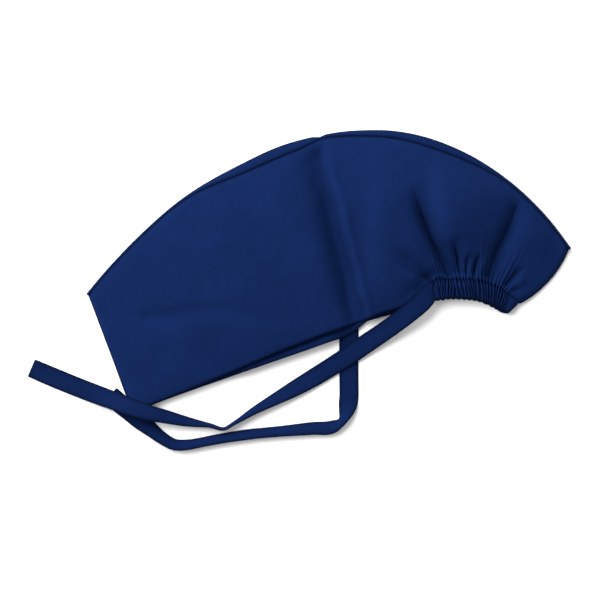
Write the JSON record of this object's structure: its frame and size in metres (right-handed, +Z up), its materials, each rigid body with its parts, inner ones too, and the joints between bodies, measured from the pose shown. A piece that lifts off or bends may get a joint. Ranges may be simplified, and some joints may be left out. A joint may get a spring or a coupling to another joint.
{
  "type": "scrub cap",
  "caption": "Gathered cloth scrub cap lying flat on its side, with a crown strip, an elastic nape casing and two flat ties.",
  "frame": {"origin": "middle of the bottom of the whole, on the table", "axes": "+Z up off the table; -X towards the forehead and the ties' free ends, +X towards the nape; +Y towards the crown of the head, -Y out through the brim"},
  "size_m": [0.3688, 0.2178, 0.0194],
  "materials": {
    "cap_cloth": "matte plain-weave navy cotton blend",
    "casing_cloth": "matte navy cloth gathered over elastic",
    "tie_cloth": "matte navy tape, folded and stitched flat"
  },
  "bodies": {
    "root": {"left_side_panel": "cap_cloth", "right_side_panel": "cap_cloth", "crown_strip": "cap_cloth", "elastic_casing": "casing_cloth", "left_tie": "tie_cloth", "right_tie": "tie_cloth"}
  },
  "joints": []
}
